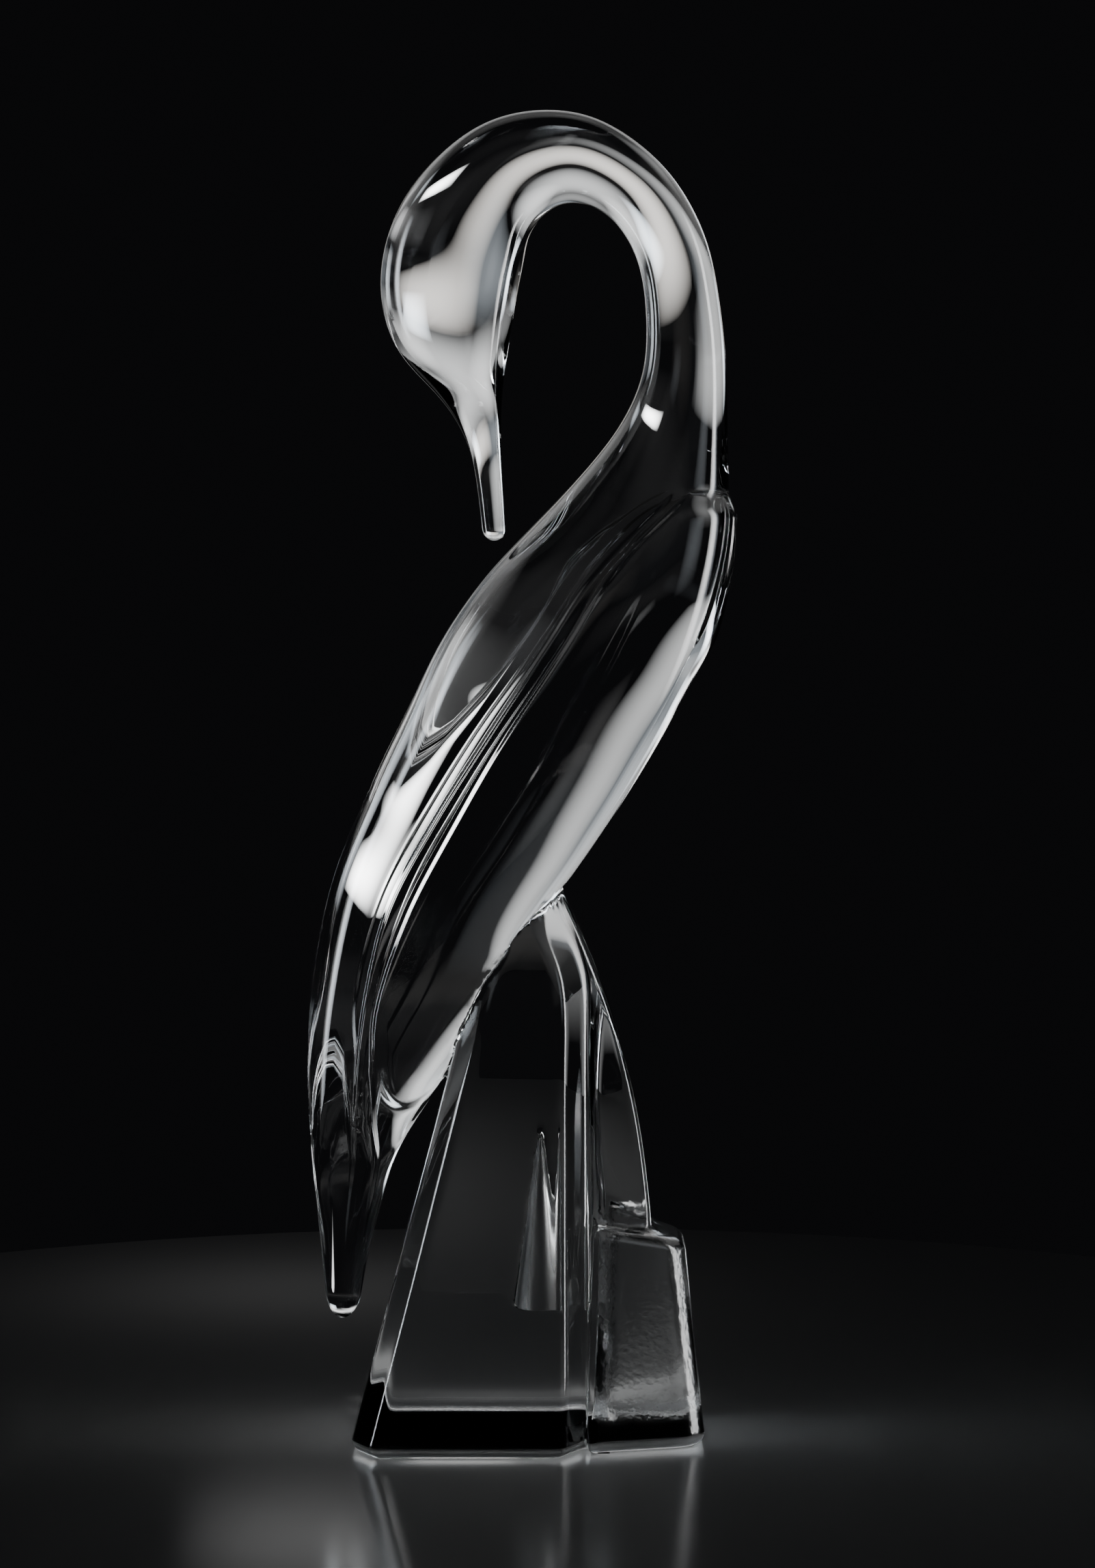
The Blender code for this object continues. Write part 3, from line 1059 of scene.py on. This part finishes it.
@dataclass(frozen=True)
class Softbox:
    """One soft light on a sphere round the piece, brightest in its middle and faded at its edges.

    Its bearing and its size are in degrees, and a bearing of zero is straight behind the piece.
    """

    name: str
    bearing: float
    elevation: float
    width: float
    height: float
    glow: float
    distance: float = 1.1
    aim: tuple[float, float, float] = (0.0, 0.0, 0.15)
    roll: float = 0.0
    tint: tuple[float, float, float] = (1.0, 1.0, 1.0)
    fade: float = 0.71

    def span(self, degrees: float) -> float:
        """Size of a side that spans this many degrees before its light has halved."""
        return 2 * self.distance * math.tan(math.radians(degrees) / 2) / self.fade

    def build(self, receivers: bpy.types.Collection) -> None:
        """Hang the light and turn it to its aim.

        Args:
            receivers: The collection that says what this light falls on, or what it is kept off.
        """
        data = bpy.data.lights.new(self.name, "AREA")
        data.shape = "RECTANGLE"
        data.color = self.tint
        data.size, data.size_y = self.span(self.width), self.span(self.height)
        data.energy = self.glow * math.pi * data.size * data.size_y
        data.use_nodes = True
        graph = Graph(data.node_tree)
        across = graph.node("ShaderNodeNewGeometry", {}, {}).outputs["Parametric"]
        sides = graph.node("ShaderNodeSeparateXYZ", {}, {0: across}).outputs
        u, v = Value(graph, sides["X"]), Value(graph, sides["Y"])
        dome = u * (1 - u) * v * (1 - v) * DOME_SCALE
        graph.feed(data.node_tree.nodes["Emission"].inputs["Strength"], dome)
        lamp = placed(self.name, data)
        turn, rise = math.radians(self.bearing), math.radians(self.elevation)
        away = Vector((math.sin(turn) * math.cos(rise), math.cos(turn) * math.cos(rise), math.sin(rise)))
        lamp.location = Vector(self.aim) + away * self.distance
        rolled = Quaternion((0.0, 0.0, 1.0), math.radians(self.roll))
        lamp.rotation_euler = (away.to_track_quat("Z", "Y") @ rolled).to_euler()
        lamp.visible_camera = False
        lamp.light_linking.receiver_collection = receivers


@dataclass(frozen=True)
class Studio:
    """Table, lights, backdrop and the camera at the photograph's angle."""

    floor_reach: float = 0.28
    floor_sides: int = 96
    backdrop: tuple[float, float, float, float] = (0.004, 0.004, 0.0045, 1.0)
    eye: tuple[float, float, float] = (0.0058, -0.95, 0.205)
    aim: tuple[float, float, float] = (0.0058, 0.0, 0.1475)
    sensor: float = 24.0
    photo_height: int = 2296
    metres_per_pixel: float = 0.000154
    # Name, bearing, elevation, width, height and glow, then distance and aim where they aren't the usual ones
    lights: tuple[Softbox, ...] = (
        Softbox("left behind", -33.0, 0.0, 47.0, 6.8, 0.75, CLOSE, (0.0, 0.0, 0.224)),
        Softbox("left behind above", -36.0, 0.0, 42.0, 11.5, 0.38, CLOSE, (0.0, 0.0, 0.288), tint=COOL),
        Softbox("close behind", 8.0, 0.0, 44.0, 10.5, 1.5, CLOSE, (0.0, 0.0, 0.307), tint=WARM),
        Softbox("left edge", -62.0, 14.0, 14.0, 17.0, 8.0, 0.6, tint=COOL),
        Softbox("right behind", 22.0, 19.0, 16.0, 10.0, 3.0, tint=COOL),
        Softbox("low right", 25.0, -13.2, 18.0, 3.2, 8.0, roll=18.0),
        Softbox("far low right", 50.0, -24.0, 12.0, 7.0, 0.8, tint=COOL),
        Softbox("front low right", 148.0, -19.0, 12.0, 14.0, 0.8),
        Softbox("left strip", -92.0, 5.0, 9.0, 45.0, 16.0, tint=COOL),
        Softbox("right strip", 92.0, 5.0, 9.0, 45.0, 16.0),
        Softbox("ceiling", 0.0, 62.0, 70.0, 22.0, 0.5),
    )
    arc: Softbox = Softbox("arc", 0.0, 35.0, 60.0, 22.0, 1.0)
    arc_lights: int = 6
    front_share: float = 0.2
    # The glow stands for the light that the crystal gathers on the table behind its foot
    table_lights: tuple[Softbox, ...] = (
        Softbox("table light", 0.0, 90.0, 30.0, 30.0, 0.1, 0.8),
        Softbox("table pool", 0.0, 90.0, 40.0, 40.0, 0.8, 0.07, (-0.06, 0.18, 0.0)),
        Softbox("foot glow", 0.0, 90.0, 168.6, 71.0, 1.2, 0.003, (0.0, 0.0355, 0.0)),
    )

    def floor(self) -> bpy.types.Object:
        """Lay the round table top.

        Returns:
            The floor.
        """
        turns = np.linspace(0.0, 2 * math.pi, self.floor_sides, endpoint=False)
        rim = [(self.floor_reach * math.cos(turn), self.floor_reach * math.sin(turn), 0.0) for turn in turns]
        mesh = bpy.data.meshes.new("table top")
        mesh.from_pydata(rim, [], [tuple(range(len(rim)))])
        mesh.materials.append(FloorFinish().make())
        return placed("table_top", mesh)

    def camera(self) -> None:
        """Set the camera where the photograph was taken from."""
        data = bpy.data.cameras.new("camera")
        eye, aim = Vector(self.eye), Vector(self.aim)
        data.sensor_fit = "VERTICAL"
        data.sensor_height = self.sensor
        data.lens = self.sensor * (aim - eye).length / (self.photo_height * self.metres_per_pixel)
        camera = placed("camera", data)
        camera.location = eye
        camera.rotation_euler = (aim - eye).to_track_quat("-Z", "Y").to_euler()
        bpy.context.scene.camera = camera

    def world(self) -> None:
        """Surround the scene with a plain dim backdrop."""
        world = bpy.data.worlds.new("backdrop")
        world.use_nodes = True
        world.node_tree.nodes["Background"].inputs["Color"].default_value = self.backdrop
        bpy.context.scene.world = world

    def build(self) -> bpy.types.Object:
        """Set up everything round the piece.

        Returns:
            The floor.
        """
        self.camera()
        self.world()
        floor = self.floor()
        spared = bpy.data.collections.new("spared")
        spared.objects.link(floor)
        spared.collection_objects[0].light_linking.link_state = "EXCLUDE"
        for light in self.lights:
            light.build(spared)
            facing = replace(light, name=f"{light.name} facing", bearing=light.bearing + 180)
            replace(facing, glow=light.glow * self.front_share).build(spared)
        for i in range(self.arc_lights):
            bearing = 360 * i / self.arc_lights
            share = self.front_share if 90 < bearing < 270 else 1.0
            light = replace(self.arc, name=f"{self.arc.name} {i}", bearing=bearing)
            replace(light, glow=self.arc.glow * share).build(spared)
        table_only = bpy.data.collections.new("table only")
        table_only.objects.link(floor)
        for light in self.table_lights:
            light.build(table_only)
        return floor


def main() -> None:
    """Build the piece and its surroundings in order."""
    logging.basicConfig(level=logging.INFO, format="%(name)s: %(message)s")
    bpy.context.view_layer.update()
    Studio().build()
    log.info("studio is set up")

    bird = Bird()
    rock = Rock(belly=bird.belly_height(Rock.crest))
    piece = CastSolid().cast(bird.build(), rock.build(), CrystalFinish().make())
    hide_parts("seabird")
    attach(piece, "root")
    log.info("%s: %d triangles", piece.name, len(piece.data.polygons))


if __name__ == "__main__":
    main()
